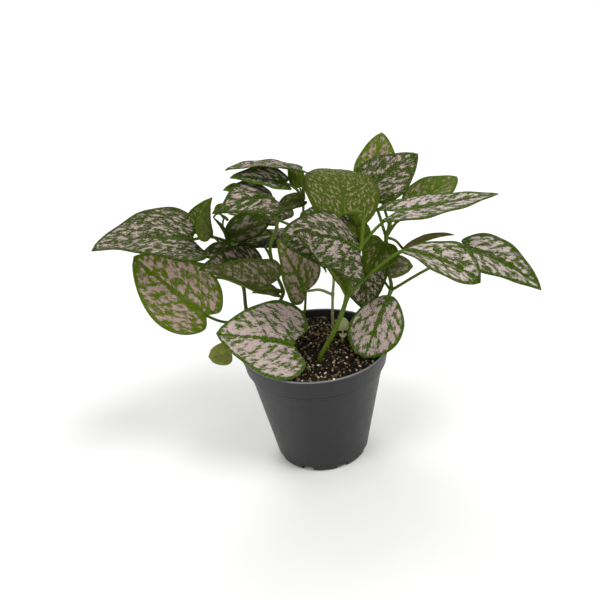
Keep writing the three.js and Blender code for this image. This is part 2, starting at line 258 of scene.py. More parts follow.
def makePot():
    wallEnd = wallTop()
    topRadius = wallRadius(wallEnd)
    step = pot["collarStep"]
    foot, base, floorTop = pot["footHeight"], pot["baseRadius"], pot["floorTop"]
    rim, top, wall = pot["rimRadius"], pot["height"], pot["wall"]
    profile = [
        (0, 0), (pot["padRadius"], 0), (pot["padRadius"] + 0.6, foot), (base - pot["footWidth"] - 1, foot),
        (base - pot["footWidth"], 0), (base - 1.3, 0), (base - 0.4, 0.35), (base + 0.1, 1.1),
        (wallRadius(pot["notchHeight"] + 0.5), pot["notchHeight"] + 0.5),
        (topRadius, wallEnd), (topRadius + step, wallEnd + 0.5), (topRadius + step + 0.3, wallEnd + 2.5),
        (topRadius + 2 * step + 0.3, wallEnd + 3), (rim - 0.7, top - 1.4), (rim, top - 1.1), (rim, top - 0.3),
        (rim - 0.4, top), (rim - 1.2, top), (rim - 1.7, top - 0.6),
        (topRadius + 2 * step + 0.3 - wall, wallEnd + 2.6), (topRadius - wall, wallEnd - 0.6),
        (wallRadius(floorTop) - wall, floorTop), (0, floorTop),
    ]
    bm = spinProfile(profile, pot["steps"], pot["edgeRound"])
    cutNotches(finishPiece("nurseryPot", bm, [potPlastic()], ["pot"]))


# The foot ring's drain notches are cut by a Boolean modifier, whose result becomes the pot's mesh.
def cutNotches(piece):
    bm = bmesh.new()
    for i in range(pot["notchCount"]):
        turn = Matrix.Rotation(2 * pi * (i + 0.5) / pot["notchCount"], 4, "Z")
        place = turn @ Matrix.Translation((0, -(pot["baseRadius"] + 1) * mm, 0))
        size = Matrix.Diagonal((pot["notchWidth"] * mm, 8 * mm, 2 * pot["notchHeight"] * mm, 1))
        made = bmesh.ops.create_cube(bm, size=1, matrix=place @ size)
        topEdges = [e for v in made["verts"] for e in v.link_edges if min(end.co.z for end in e.verts) > 0]
        bmesh.ops.bevel(bm, geom=list(dict.fromkeys(topEdges)), offset=pot["notchRound"] * mm,
                        offset_type="OFFSET", segments=4, profile=0.5, affect="EDGES", material=-1)
    cutter = makeObject("notchCutter", bm, smooth=False)
    cut = piece.modifiers.new("drain notches", "BOOLEAN")
    cut.operation = "DIFFERENCE"
    cut.solver = "EXACT"
    cut.object = cutter
    bpy.context.view_layer.update()
    cutMesh = bpy.data.meshes.new_from_object(piece.evaluated_get(bpy.context.evaluated_depsgraph_get()))
    piece.modifiers.clear()
    piece.data = cutMesh
    cutMesh.set_sharp_from_angle(angle=radians(pot["sharpest"]))
    bpy.data.objects.remove(cutter)


makePot()
print("pot made")

# Soil: dark peat with bark crumbs and perlite, in mm.
soil = {
    "top": 63.5,
    "gap": 0.3,
    "lump": 0.9,
    "flare": 0.29,  # how much wider the soil gets for each mm that it rises inside the collar
    "steps": 120,
    "rings": 34,
    "peat": "#1a110a",
    "peatDry": "#3b2c1c",
    "peatScale": 420,  # lumps of 2.4 mm
    "fibreScale": 700,  # fibres of 1.4 mm
    "crumbScale": 2200,  # mottled at 0.5 mm
    "perliteColours": ("#ece6da", "#a08d70"),  # clean and soiled
    "pitScale": 3000,  # pits of 0.3 mm
    "soiledScale": 700,  # soiled spots of 1.4 mm
    "crumbs": 1700,
    "perlite": 46,
    "grains": [  # the largest grains that the photo shows: x, y and radius
        (1, -20, 0.95), (4, -27, 0.8), (13, -7, 0.6), (11, -15, 0.6), (16, -14, 0.75), (19, -13, 0.55),
        (22, -23, 0.75), (20, -27, 0.6), (29, -18, 0.6), (2, -30, 0.55), (-2, -26, 0.6),
    ],
    "lipGrains": [(7.9, -38.4, 0.85), (-31.6, -23.1, 0.5)],  # two that were spilled on the pot's lip
}
crumbKinds = [  # share, colour, smallest and largest radius, mm
    (0.30, "#150d07", 0.5, 1.2),
    (0.24, "#3c2c1a", 0.45, 1.1),
    (0.29, "#7d6a48", 0.45, 1.2),
    (0.17, "#b3a27f", 0.35, 0.95),
]


def soilHeight(x, y):
    lumps = sin(x * 0.55 + 1.3) * sin(y * 0.62 + 0.4) + 0.6 * sin(x * 1.1 - y * 0.9)
    mound = 0.8 * (1 - (x * x + y * y) / pot["rimRadius"] ** 2)
    return soil["top"] + mound + 0.5 * soil["lump"] * lumps


def soilPeat():
    # Sphagnum peat, crumbled and damp: near black, with paler dry fibre on its high spots.
    material, tree = emptyMaterial("damp peat")
    place = addNode(tree, "TexCoord").outputs["Object"]
    lumps = addNode(tree, "TexNoise",
                    {"Vector": place, "Scale": soil["peatScale"], "Detail": 6, "Roughness": 0.7}).outputs[0]
    fibres = addNode(tree, "TexVoronoi", {"Vector": place, "Scale": soil["fibreScale"]}).outputs["Distance"]
    dry = addNode(tree, "MapRange", {"Value": lumps, "From Min": 0.5, "From Max": 0.66}).outputs[0]
    colour = addNode(tree, "Mix",
                     {0: dry, 6: linear(soil["peat"]), 7: linear(soil["peatDry"])},
                     data_type="RGBA").outputs[2]
    rough = addNode(tree, "MapRange", {"Value": lumps, "To Min": 0.8, "To Max": 1.0}).outputs[0]
    relief = addNode(tree, "Math", {0: lumps, 1: fibres}, operation="ADD").outputs[0]
    bump = addNode(tree, "Bump", {"Height": relief, "Strength": 0.9, "Distance": 0.0008}).outputs[0]
    opaqueFinish(tree, colour, rough, bump, 0.2)
    return material


def crumbSkin():
    # Bark and peat crumbs: matt, each in its own brown, and mottled finely.
    material, tree = emptyMaterial("bark crumbs")
    place = addNode(tree, "TexCoord").outputs["Object"]
    own = addNode(tree, "Attribute", attribute_name="crumbColour").outputs["Color"]
    mottle = addNode(tree, "TexNoise",
                     {"Vector": place, "Scale": soil["crumbScale"], "Detail": 3}).outputs[0]
    shade = addNode(tree, "MapRange", {"Value": mottle, "To Min": 0.55, "To Max": 1.35}).outputs[0]
    colour = addNode(tree, "VectorMath", {0: own, "Scale": shade}, operation="SCALE").outputs[0]
    rough = addNode(tree, "MapRange", {"Value": mottle, "To Min": 0.75, "To Max": 1.0}).outputs[0]
    bump = addNode(tree, "Bump", {"Height": mottle, "Strength": 0.6, "Distance": 0.0003}).outputs[0]
    opaqueFinish(tree, colour, rough, bump, 0.25)
    return material


def perliteSkin():
    # Expanded perlite: a chalk-white glass foam, dull and pitted, with a little soil on it.
    material, tree = emptyMaterial("expanded perlite")
    place = addNode(tree, "TexCoord").outputs["Object"]
    pits = addNode(tree, "TexVoronoi", {"Vector": place, "Scale": soil["pitScale"]}).outputs["Distance"]
    dirt = addNode(tree, "TexNoise",
                   {"Vector": place, "Scale": soil["soiledScale"], "Detail": 3}).outputs[0]
    soiled = addNode(tree, "MapRange", {"Value": dirt, "From Min": 0.52, "From Max": 0.72}).outputs[0]
    clean, dirty = (linear(colour) for colour in soil["perliteColours"])
    colour = addNode(tree, "Mix", {0: soiled, 6: clean, 7: dirty}, data_type="RGBA").outputs[2]
    rough = addNode(tree, "MapRange", {"Value": dirt, "To Min": 0.7, "To Max": 1.0}).outputs[0]
    bump = addNode(tree, "Bump", {"Height": pits, "Strength": 0.6, "Distance": 0.0003}).outputs[0]
    opaqueFinish(tree, colour, rough, bump)
    return material


def makeSoil():
    neckHeight = wallTop() - 0.6
    bottom = pot["floorTop"] + soil["gap"]
    inner, neck = (wallRadius(height) - pot["wall"] - soil["gap"] - 0.1 for height in (bottom, neckHeight))
    edge = neck + soil["flare"] * (soil["top"] - neckHeight)
    profile = [(0, bottom), (inner, bottom), (neck, neckHeight), (edge, soil["top"] - 1)]
    profile += [(edge * ring / soil["rings"], soil["top"]) for ring in range(soil["rings"], -1, -1)]
    bm = spinProfile(profile, soil["steps"])
    for v in bm.verts:
        if v.co.z > (soil["top"] - 0.5) * mm:
            x, y = v.co.x / mm, v.co.y / mm
            rough = 0.7 * noise.fractal((x * 0.7, y * 0.7, 3.1), 1.0, 2.0, 4)
            v.co.z = (soilHeight(x, y) + rough) * mm
    finishPiece("pottingSoil", bm, [soilPeat()], ["soil"])


# A crumb is a low-poly ball, knocked out of round, squashed and half sunk.
def addCrumb(bm, draw, place, size, facets, colour=None):
    part = bmesh.new()
    made = bmesh.ops.create_icosphere(part, subdivisions=facets, radius=1.0)["verts"]
    for v in made:
        v.co *= draw.uniform(0.72, 1.12)
    stretch = Matrix.Diagonal((draw.uniform(0.7, 1.3), draw.uniform(0.6, 1.0), draw.uniform(0.5, 0.85), 1))
    turn = Matrix.Rotation(draw.uniform(0, 2 * pi), 4, "Z") @ Matrix.Rotation(draw.uniform(-0.6, 0.6), 4, "X")
    placed = Matrix.Translation(place) @ turn @ stretch @ Matrix.Scale(size, 4)
    bmesh.ops.transform(part, matrix=placed, verts=made)
    if colour:
        layer = part.verts.layers.float_color.new("crumbColour")
        for v in part.verts:
            v[layer] = colour
    gather(bm, part)


def makeCrumbs():
    draw = random.Random(11)
    reach = wallRadius(pot["height"] - pot["collarHeight"]) - 0.6
    bm = bmesh.new()
    bm.verts.layers.float_color.new("crumbColour")
    for _ in range(soil["crumbs"]):
        pick = draw.random()
        for share, colour, smallest, largest in crumbKinds:
            pick -= share
            if pick < 0:
                break
        angle, away = draw.uniform(0, 2 * pi), reach * draw.random() ** 0.5
        x, y = away * cos(angle), away * sin(angle)
        size = draw.uniform(smallest, largest)
        place = Vector((x, y, soilHeight(x, y) + 0.25 * size)) * mm
        shade = draw.uniform(0.75, 1.2)
        own = [channel * shade for channel in linear(colour)[:3]] + [1.0]
        addCrumb(bm, draw, place, size * mm, 1, own)
    finishPiece("barkCrumbs", bm, [crumbSkin()], [], smooth=False)


def makePerlite():
    draw = random.Random(5)
    reach = wallRadius(pot["height"] - pot["collarHeight"]) - 1.5
    bm = bmesh.new()
    for _ in range(soil["perlite"]):
        angle, away = draw.uniform(0, 2 * pi), reach * draw.random() ** 0.5
        x, y = away * cos(angle), away * sin(angle)
        size = draw.uniform(0.35, 0.85)
        addCrumb(bm, draw, Vector((x, y, soilHeight(x, y) + 0.3 * size)) * mm, size * mm, 2)
    for x, y, size in soil["grains"]:
        addCrumb(bm, draw, Vector((x, y, soilHeight(x, y) + 0.4 * size)) * mm, size * mm, 2)
    for x, y, size in soil["lipGrains"]:
        addCrumb(bm, draw, Vector((x, y, pot["height"] + 0.3 * size)) * mm, size * mm, 2)
    finishPiece("perliteGrains", bm, [perliteSkin()], [])


makeSoil()
makeCrumbs()
makePerlite()
print("soil made")

# Leaves. A look is a green, a splash, the share of the blade that is splashed and the size of its marks.
leafLooks = {
    "mature": ("#3a5400", "#d0b8b2", 0.46, 1.1),
    "bright": ("#446000", "#dccbc5", 0.60, 1.2),
    "pink": ("#507200", "#e0cac4", 0.75, 1.2),
    "warm": ("#648000", "#cdb1a7", 0.60, 1.3),
    # painted light: a lighter green and splash for leaves that lie in the shade of the leaves above them, so
    # that they come out lighter
    "paintedLight": ("#5a7a04", "#f0e0d8", 0.50, 1.0),
    "deep": ("#385002", "#c9b5ac", 0.50, 1.0),
    "olive": ("#4c6000", "#aaa074", 0.34, 0.7),
    "young": ("#546e00", "#aaa078", 0.36, 0.8),
    "brown": ("#54441e", "#8d8262", 0.44, 0.7),
    "pale": ("#7c8646", "#c9bfa6", 0.64, 0.9),
    "plain": ("#9aa052", "#9aa052", 0.0, 1.0),
    "cream": ("#bcc08c", "#bcc08c", 0.0, 1.0),
}

# The leafy stems, as the frame has them: a path up from the soil in mm, then each leaf by the point of
# the path that bears it, its stalk and blade as length, bearing and rise, and the blade's form. lobe is how
# far the blade reaches back past its stalk, and lobeTurn the share of it within which the lobes turn.
leafForm = {
    "width": 30, "roll": 0, "arch": 1.5, "fold": 10, "twist": 0, "wave": 0.4, "fullness": 0.8, "peak": 0.62,
    "lobe": 0.14, "lobeTurn": 0.02, "bow": None, "look": "mature",
}
stems = [
    {
        "name": "stemFront", "radius": 1.35, "colour": "#586f10",
        "path": [(2, -15, 65.5), (6, -15, 73), (10, -15, 80), (15, -15, 91), (18, -14, 99), (22, -13, 113),
                 (26, -11, 124), (28, -10, 135), (29, -9, 140)],
        "leaves": [
            {"at": 4, "stalk": (41, -30, 44), "blade": (39, -31, -15), "width": 26, "roll": 6, "arch": 3,
             "fold": 15, "twist": 25, "peak": 1.2, "fullness": 0.65, "lobe": 0.04, "look": "bright"},
            {"at": 4, "stalk": (28, -143, 61), "blade": (26, -137, 50), "width": 20, "roll": -50,
             "look": "deep"},
            {"at": 6, "stalk": (3, -100, 0), "blade": (41, -162, 20), "width": 38, "roll": -38, "arch": 7,
             "fold": -12, "peak": 0.58, "fullness": 0.52, "look": "deep"},
            {"at": 6, "stalk": (25, 20, 32), "blade": (49, 2, 5), "width": 27, "roll": 4, "arch": 0,
             "fold": 3, "lobe": 0.24, "lobeTurn": 0.012, "look": "bright"},
            {"at": 8, "stalk": (10, 153, -7), "blade": (45, 93, 12), "width": 38, "roll": 10, "arch": 5,
             "fold": 0, "peak": 0.95, "fullness": 0.5, "lobe": 0.2, "look": "olive"},
            {"at": 6, "stalk": (4, 60, 40), "blade": (14, 120, 50), "width": 11, "roll": -30,
             "look": "young"},
        ],
    },
    {
        "name": "stemPale", "radius": 0.9, "colour": "#a3ab6c",
        "path": [(11, 15, 65.5), (11, 15, 73), (12, 15, 87), (13, 15, 98), (11, 14, 103), (10, 12, 114)],
        "leaves": [
            {"at": 2, "stalk": (15, -168, 19), "blade": (36, -150, 67), "width": 31, "roll": -68, "arch": 1,
             "lobe": 0.08, "look": "warm"},
            {"at": 5, "stalk": (9, -70, 22), "blade": (23, -65, -57), "width": 15, "look": "olive"},
            {"at": 5, "stalk": (14, 85, 30), "blade": (36, 88, 0), "width": 28, "roll": 5},
        ],
    },
    {
        "name": "stemMiddle", "radius": 1.1, "colour": "#62761c",
        "path": [(-14, 6, 65.5), (-15, 6, 74), (-16, 5, 90), (-14, 5, 96), (-17, 5, 108), (-18, 5, 122),
                 (-14, 6, 130), (-13, 7, 139)],
        "leaves": [
            {"at": 1, "stalk": (26, -80, 10), "blade": (39, 180, 14), "width": 43, "roll": -38, "arch": 2.5,
             "fold": 4, "lobe": 0.24, "lobeTurn": 0.012, "fullness": 0.72, "look": "pink"},
            {"at": 3, "stalk": (15, -154, 18), "blade": (38, -144, 36), "width": 44, "roll": -6, "arch": 1,
             "fold": 58, "peak": 0.56},
            {"at": 7, "stalk": (12, -95, 52), "blade": (28, -152, -1), "width": 29, "roll": -20, "arch": 4,
             "fold": 0},
            {"at": 6, "stalk": (11, -87, 60), "blade": (16, -149, 28), "width": 14, "roll": -10},
            {"at": 7, "stalk": (15, 171, 28), "blade": (15, -150, 31), "width": 15, "roll": -20,
             "look": "young"},
            {"at": 4, "stalk": (18, 105, 22), "blade": (42, 84, -8), "width": 32},
            {"at": 3, "stalk": (3, -150, 0), "blade": (15, -155, 18), "width": 10, "roll": -20,
             "look": "pale"},
        ],
    },
    {
        "name": "stemLeft", "radius": 1.1, "colour": "#4c5c18",
        "path": [(-26, 4, 65.5), (-31, 4, 76), (-34, 4, 87), (-34, 4, 102), (-36, 5, 113), (-39, 8, 125),
                 (-41, 10, 132), (-45, 12, 137)],
        "leaves": [
            {"at": 2, "stalk": (24, -145, 15), "blade": (47, -174, 51), "width": 37, "roll": -75, "arch": 1,
             "fold": 4, "peak": 0.78, "fullness": 0.68, "lobe": 0.13, "lobeTurn": 0.012, "bow": -5,
             "look": "warm"},
            {"at": 5, "stalk": (20, -147, 20), "blade": (48, -163, 5), "width": 38, "roll": -18, "arch": 4.2,
             "fold": 8, "twist": 35, "peak": 0.72, "fullness": 0.6, "lobe": 0.17},
            {"at": 4, "stalk": (17, 101, 14), "blade": (24, -4, 11), "width": 22, "roll": 10, "arch": 2,
             "peak": 0.85, "look": "paintedLight"},
            {"at": 6, "stalk": (7.5, 58, -55), "blade": (23, 6, 14), "width": 18, "roll": -80, "arch": 1,
             "peak": 0.9, "look": "paintedLight"},
            {"at": 4, "stalk": (23, -142, 60), "blade": (18.5, 54, 79), "width": 32, "roll": -36, "fold": 36,
             "look": "young"},
            {"at": 4, "stalk": (7, 133, 55), "blade": (16, -176, -1), "width": 14, "roll": -20, "arch": 2},
            {"at": 6, "stalk": (7, -60, 60), "blade": (10, -123, 33), "width": 8, "roll": -30,
             "look": "young"},
            {"at": 7, "stalk": (4, 54, 10), "blade": (7, 61, 30), "width": 5, "look": "young"},
            {"at": 3, "stalk": (24, 150, 2), "blade": (38, 160, -8), "width": 28},
        ],
    },
    {
        "name": "stemRight", "radius": 1.2, "colour": "#5c7016",
        "path": [(27, 12, 65.5), (35, 16, 73), (44, 20, 84), (43, 20, 96), (43, 19, 108), (42, 18, 116),
                 (44, 18, 122), (45, 19, 127)],
        "leaves": [
            {"at": 2, "stalk": (8.5, -106, 8), "blade": (40, -119, -28), "width": 30, "roll": -8, "arch": 3,
             "fold": -15, "peak": 1.15, "fullness": 0.55, "lobe": 0.04, "look": "pink"},
            {"at": 2, "stalk": (28, -169, 54), "blade": (30, -74, -80), "width": 28, "look": "deep"},
            {"at": 2, "stalk": (50, -25, 33), "blade": (41, -35, -21), "width": 26, "roll": 22, "arch": 4,
             "bow": 1.5, "lobe": 0.22, "lobeTurn": 0.012, "look": "bright"},
            {"at": 4, "stalk": (9, -75, -69), "blade": (12.5, -27, 9), "width": 13, "roll": 55,
             "fullness": 0.5, "look": "pale"},
            {"at": 5, "stalk": (4, -111, -25), "blade": (19, -142, -45), "width": 20, "roll": -40,
             "look": "young"},
            {"at": 5, "stalk": (15, 24, -42), "blade": (30, 18, 5), "width": 12, "roll": -45, "arch": 2,
             "wave": 0.1, "look": "brown"},
            {"at": 5, "stalk": (16, -8, 47), "blade": (37, 33, 19), "width": 27, "roll": 2, "peak": 1.1,
             "look": "young"},
            {"at": 5, "stalk": (26, 141, 69), "blade": (34, 29, 21), "width": 30, "roll": 25, "fold": 0},
            {"at": 6, "stalk": (26, 102, 35), "blade": (29, 67, 59), "width": 25, "fullness": 0.7,
             "look": "warm"},
            {"at": 3, "stalk": (16, 95, 0), "blade": (42, 95, -30), "width": 28},
        ],
    },
    {
        "name": "stemSlim", "radius": 0.8, "colour": "#687a24",
        "path": [(-5, 30, 65.5), (-4, 28, 71), (-3, 27, 79), (-1, 25, 98), (0, 22, 117), (0, 20, 131),
                 (1, 19, 140)],
        "leaves": [
            {"at": 6, "stalk": (17, -87, 73), "blade": (38, -168, 9), "width": 30, "roll": 7, "arch": 2.5,
             "fold": 4, "peak": 0.5, "fullness": 0.6},
            {"at": 6, "stalk": (17, -132, 44), "blade": (28, -167, 15), "width": 18, "roll": -20,
             "look": "paintedLight"},
            {"at": 5, "stalk": (9, -77, 77), "blade": (18, -169, -20), "width": 16, "roll": -10,
             "look": "olive"},
            {"at": 6, "stalk": (8, 108, 36), "blade": (13, 120, 46), "width": 10, "look": "young"},
            {"at": 3, "stalk": (16, 60, 25), "blade": (42, 55, -8), "width": 32},
            {"at": 4, "stalk": (18, 140, 25), "blade": (40, 142, 0), "width": 30},
        ],
    },
    {
        "name": "seedlingRight", "radius": 0.7, "colour": "#a9ad7c",
        "path": [(15, 2, 65.5), (15, 2, 68), (15.5, 2, 70)],
        "leaves": [
            {"at": 2, "stalk": (1.5, 90, 60), "blade": (7.5, 88, 62), "width": 8, "arch": 0.5, "wave": 0,
             "fullness": 0.5, "lobe": 0.04, "look": "cream"},
            {"at": 2, "stalk": (2.5, -92, 20), "blade": (4.5, -92, 5), "width": 4, "arch": 0.3, "wave": 0,
             "fullness": 0.5, "lobe": 0.04, "look": "cream"},
        ],
    },
    {
        "name": "seedlingLeft", "radius": 0.7, "colour": "#8f9852",
        "path": [(-25, -12, 65.5), (-26, -12, 68), (-30, -13, 71)],
        "leaves": [
            {"at": 2, "stalk": (13, -178, 8), "blade": (12, -175, -3), "width": 12, "roll": -55, "arch": 0.5,
             "wave": 0, "fullness": 0.45, "lobe": 0.02, "look": "plain"},
            {"at": 2, "stalk": (4, 60, 20), "blade": (8, 70, 10), "width": 9, "arch": 0.5, "wave": 0,
             "fullness": 0.5, "look": "plain"},
        ],
    },
]

blade = {
    "thickness": 0.42,
    "facet": 0.95,  # mm between grid lines
    "veinSpacing": 5.4,
    "veinSlant": 0.62,
    "veinCurve": 0.018,
    "quilt": 0.32,  # how far the blade swells between its side veins
    "quiltWidth": 24,  # a narrower blade swells less
    "groove": 0.3,
    "grooveShadeHalf": 1.6,
    "rowBend": 1.3,  # above 1 a row starts lower on the midrib and bends up to the margin
    "waves": 2.5,  # along each rim
    "wavePhase": 2.4,  # sets the waves of the two rims apart
    "fullWaveLength": 40,  # a shorter blade waves less
    "twistFrom": 0.4,  # the share of the length that the twist leaves as it is
    "rowCrowding": 1.8,  # above 1 the rows crowd towards the stalk, where the lobes turn
    "endHalfWidth": 0.5,
    "stalkSunk": 0.05,
    "markMiddle": 0.67,  # the level of the markings' noise that half of the blade passes
    "markRange": 0.32,
}
stalk = {
    "radius": 0.85,
    "sides": 10,
    "rootEnd": 55.5,  # the height in the soil at which the stems start
    "step": 1.4,
    "ribEnd": 0.8,  # the share of the blade at which the rib under it ends
    "ribSunk": 0.3,
    "stemTaper": 0.25,
    "swell": 0.22,  # the share by which a stem thickens where a leaf leaves it
    "swellReach": 2.5,
    "blotchScale": 350,  # blotches of 3 mm
    "glow": 0.15,
}


def heading(bearing, rise):
    b, r = radians(bearing), radians(rise)
    return Vector((cos(r) * cos(b), cos(r) * sin(b), sin(r)))


# A point of the blade from its share, stalk 0 to tip 1, and b, left margin -1 to right margin 1: where it
# lies along, across and above the blade, and how far across it would be if the blade were flat.
def bladePoint(leaf, share, b):
    length = leaf["blade"][0]
    side = abs(b)
    midrib = length * share ** blade["rowBend"]
    back = leaf["lobe"] * (1 - share) * (1 - exp(-share / leaf["lobeTurn"]))
    along = midrib + (length * (share - back) - midrib) * side ** blade["rowBend"]
    half = 0.5 * leaf["width"] * sin(pi * min(share, 0.9999) ** leaf["peak"]) ** leaf["fullness"]
    end = blade["endHalfWidth"] * min(1, 20 * share) * (1 - share ** 12)
    flat = b * max(end, half)
    x = along / length
    fold = radians(leaf["fold"])
    twist = radians(leaf["twist"]) * (x - blade["twistFrom"])
    phase = 2 * pi * blade["waves"] * x + blade["wavePhase"] * b + length
    wave = leaf["wave"] * min(1, length / blade["fullWaveLength"]) * side * side * sin(phase)
    across = flat * cos(fold)
    lift = abs(flat) * sin(fold) + wave * min(1, 4 * (1 - x))
    flow = along - blade["veinSlant"] * abs(flat) - blade["veinCurve"] * flat * flat
    swell = -0.5 * cos(2 * pi * flow / blade["veinSpacing"]) * min(1, abs(flat) / 3) * (1 - side ** 4)
    lift += blade["quilt"] * swell * min(1, leaf["width"] / blade["quiltWidth"])
    lift -= blade["groove"] * max(0, 1 - abs(flat) / blade["grooveShadeHalf"]) * min(1, 6 * share)
    height = 4 * leaf["arch"] * x * (1 - x)
    place = (along, across * cos(twist) + lift * sin(twist), height + lift * cos(twist) - across * sin(twist))
    return place, flat, flow, half


def bladeAxes(leaf):
    along = heading(*leaf["blade"][1:])
    right = along.cross(up).normalized()
    right.rotate(Matrix.Rotation(radians(leaf["roll"]), 3, along))
    return along, right, right.cross(along)


def onBlade(base, axes, place):
    return base + sum((axis * amount for axis, amount in zip(axes, place)), Vector())


# Points along a centripetal Catmull-Rom curve, about one step apart.
def smoothPath(points, step):
    points = [Vector(p) for p in points]
    points = [2 * points[0] - points[1]] + points + [2 * points[-1] - points[-2]]
    line = []
    for p0, p1, p2, p3 in zip(points, points[1:], points[2:], points[3:]):
        d0, d1, d2 = ((b - a).length ** 0.5 for a, b in ((p0, p1), (p1, p2), (p2, p3)))
        t1 = ((p1 - p0) / d0 - (p2 - p0) / (d0 + d1) + (p2 - p1) / d1) * d1
        t2 = ((p2 - p1) / d1 - (p3 - p1) / (d1 + d2) + (p3 - p2) / d2) * d1
        count = max(2, round((p2 - p1).length / step))
        for i in range(count):
            t = i / count
            bend = (3 * (p2 - p1) - 2 * t1 - t2) * t ** 2
            line.append(p1 + t1 * t + bend + (2 * (p1 - p2) + t1 + t2) * t ** 3)
    return line + [points[-2]]


# A tube grown ring by ring: each ring is extruded from the last and moved to the next place on the line.
def growTube(whole, line, radii, sides, colour):
    bm = bmesh.new()
    tangents = [(b - a).normalized() for a, b in zip([line[0]] + line[:-1], line[1:] + [line[-1]])]
    normal = tangents[0].orthogonal().normalized()
    frames = []
    for i, (place, tangent) in enumerate(zip(line, tangents)):
        if i:
            normal.rotate(tangents[i - 1].rotation_difference(tangent))
        normal = (normal - tangent * normal.dot(tangent)).normalized()
        turn = Matrix((normal, tangent.cross(normal), tangent)).transposed().to_4x4()
        frames.append(Matrix.Translation(place * mm) @ turn @ Matrix.Scale(radii[i] * mm, 4))
    bmesh.ops.create_circle(bm, cap_ends=False, segments=sides, radius=1, matrix=frames[0])
    edges = bm.edges[:]
    bmesh.ops.edgeloop_fill(bm, edges=edges)
    for last, here in zip(frames, frames[1:]):
        grown = bmesh.ops.extrude_edge_only(bm, edges=edges)["geom"]
        ring = onlyVerts(grown)
        ringSet = set(ring)
        edges = [item for item in grown
                 if isinstance(item, bmesh.types.BMEdge) and ringSet.issuperset(item.verts)]
        bmesh.ops.transform(bm, matrix=here @ last.inverted(), verts=ring)
    bmesh.ops.edgeloop_fill(bm, edges=edges)
    layer = bm.verts.layers.float_color.new("stalkColour")
    for v in bm.verts:
        v[layer] = colour
    bmesh.ops.recalc_face_normals(bm, faces=bm.faces)
    gather(whole, bm)


# How a leaf is painted. A pattern's own unit is 10 mm of blade, so its scale counts cells in 10 mm.
leafPaint = {
    "unit": 0.1,
    "narrow": 1.8,  # the pattern is closer across the blade than along it
    "cells": 12,
    "cellWeight": 0.12,
    "patches": 3.2,
    "frays": 16,
    "frayWeight": 0.22,
    "wobbles": 14,
    "wobble": (0.2, 0.2, 0),
    "pricks": 26,
    "clouds": 6,
    "softness": 0.012,  # half of the step from green to splash, in the noise's own measure, as the holds are
    "ribHold": 0.45,
    "ribWidth": (0.42, 0.07),  # each side of the midrib, at the stalk and at the tip
    "rimHold": 0.45,
    "rimWidth": (0.5, 2.1),  # mm from the margin: green to the first, and fading up to the second
    "stalkHold": 0.16,
    "stalkShare": 0.12,
    "veinHold": 0.12,
    "veinWidth": 0.11,
    "vein": "#7d8f3c",
    "underside": "#62662f",
    "upperRough": (0.5, 0.68),
    "underRough": (0.66, 0.84),
    "glow": 0.34,  # share of the light that the blade lets through
}
neverMarked = 9  # a level that the noise of the markings never passes


def addBlade(bm, leaf, base, seed):
    green, splash, marked, speckSize = leafLooks[leaf["look"]]
    length = leaf["blade"][0]
    rows = max(12, round(length / blade["facet"]))
    columns = 2 * max(5, round(0.5 * leaf["width"] / blade["facet"]))
    axes = bladeAxes(leaf)
    flowLayer = bm.verts.layers.float_vector["veinFlow"]
    edgeLayer = bm.verts.layers.float_vector["bladeEdge"]
    greenLayer = bm.verts.layers.float_color["leafGreen"]
    splashLayer = bm.verts.layers.float_color["leafSplash"]
    green, splash = linear(green), linear(splash)
    level = blade["markMiddle"] + blade["markRange"] * (0.5 - marked) if marked else neverMarked
    speck = leafPaint["unit"] / speckSize
    sheet = bmesh.ops.create_grid(bm, x_segments=columns, y_segments=rows, size=1.0)["verts"]
    for v in sheet:
        share, b = min(1, max(0, 0.5 * (v.co.y + 1))) ** blade["rowCrowding"], v.co.x
        place, flat, flow, half = bladePoint(leaf, share, b)
        v.co = onBlade(base, axes, place) * mm
        v[flowLayer] = (flow * speck, leafPaint["narrow"] * flat * speck, seed)
        v[edgeLayer] = (min((1 - abs(b)) * half, 0.9 * length * (1 - share)), share, level)
        v[greenLayer] = green
        v[splashLayer] = splash
    bmesh.ops.remove_doubles(bm, verts=sheet, dist=mergeWithin)


# Where green holds: along the midrib, the side veins and the margin, and where the stalk comes in.
def greenHold(tree, edge, cells, onVein):
    fromStalk = edge.outputs["Y"]
    across = addNode(tree, "SeparateXYZ", {0: cells.outputs["Position"]}).outputs["Y"]
    fromRib = addNode(tree, "Math", {0: across}, operation="ABSOLUTE").outputs[0]
    widest, slimmest = leafPaint["ribWidth"]
    ribWidth = addNode(tree, "MapRange",
                       {"Value": fromStalk, "To Min": widest, "To Max": slimmest}).outputs[0]
    onRib = addNode(tree, "MapRange",
                    {"Value": fromRib, "From Max": ribWidth,
                     "To Min": leafPaint["ribHold"], "To Max": 0.0}).outputs[0]
    solid, faded = leafPaint["rimWidth"]
    onRim = addNode(tree, "MapRange",
                    {"Value": edge.outputs["X"], "From Min": solid, "From Max": faded,
                     "To Min": leafPaint["rimHold"], "To Max": 0.0}).outputs[0]
    atStalk = addNode(tree, "MapRange",
                      {"Value": fromStalk, "From Max": leafPaint["stalkShare"],
                       "To Min": leafPaint["stalkHold"], "To Max": 0.0}).outputs[0]
    veinHold = addNode(tree, "Math",
                       {0: onVein, 1: leafPaint["veinHold"], 2: onRib}, operation="MULTIPLY_ADD").outputs[0]
    edgeHold = addNode(tree, "Math", {0: onRim, 1: atStalk}, operation="ADD").outputs[0]
    return addNode(tree, "Math", {0: veinHold, 1: edgeHold}, operation="ADD").outputs[0]


